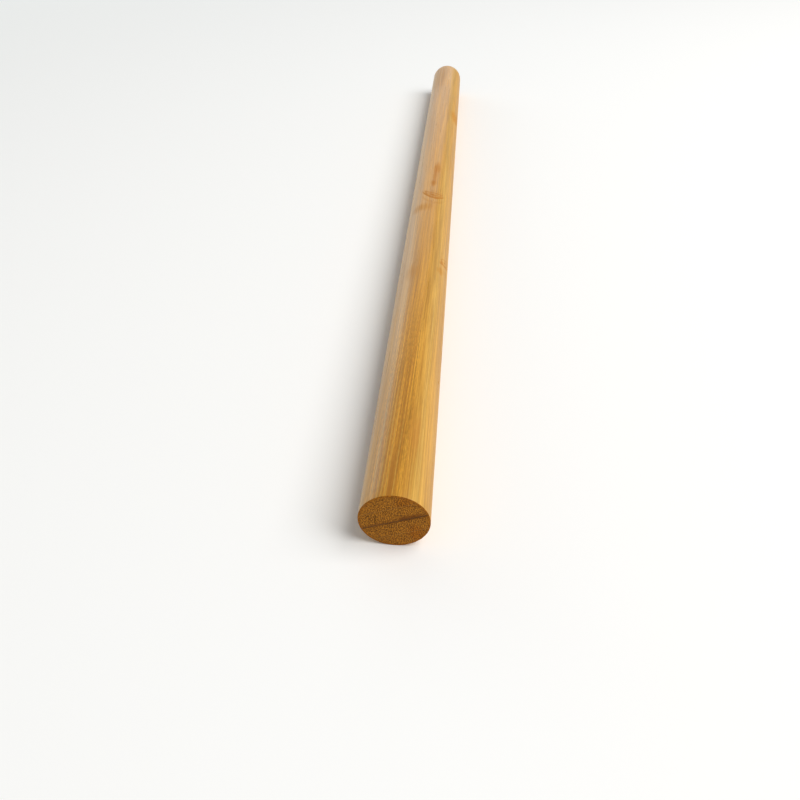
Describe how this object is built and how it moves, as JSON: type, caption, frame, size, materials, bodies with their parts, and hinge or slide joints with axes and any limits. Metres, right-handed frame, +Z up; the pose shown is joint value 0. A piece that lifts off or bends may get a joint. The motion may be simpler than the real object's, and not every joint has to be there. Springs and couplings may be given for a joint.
{
  "type": "laminated bamboo rod",
  "caption": "Straight solid round bamboo rod, turned from flat strips glued face to face and sawn off square at both ends.",
  "frame": {"origin": "on the resting surface, under the middle of the rod", "axes": "+Y along the rod from the near end to the far end, +Z up, +X to the right as seen from the near end"},
  "size_m": [0.025, 0.55, 0.0249],
  "materials": {
    "bamboo": "satin, straight grained, straw to amber with darker fibre streaks",
    "glue": "thin dark brown line of hardened glue between strips"
  },
  "bodies": {
    "root": {"top_strip": "bamboo", "upper_strip": "bamboo", "lower_strip": "bamboo", "bottom_strip": "bamboo", "upper_glue_line": "glue", "middle_glue_line": "glue", "lower_glue_line": "glue"}
  },
  "joints": []
}
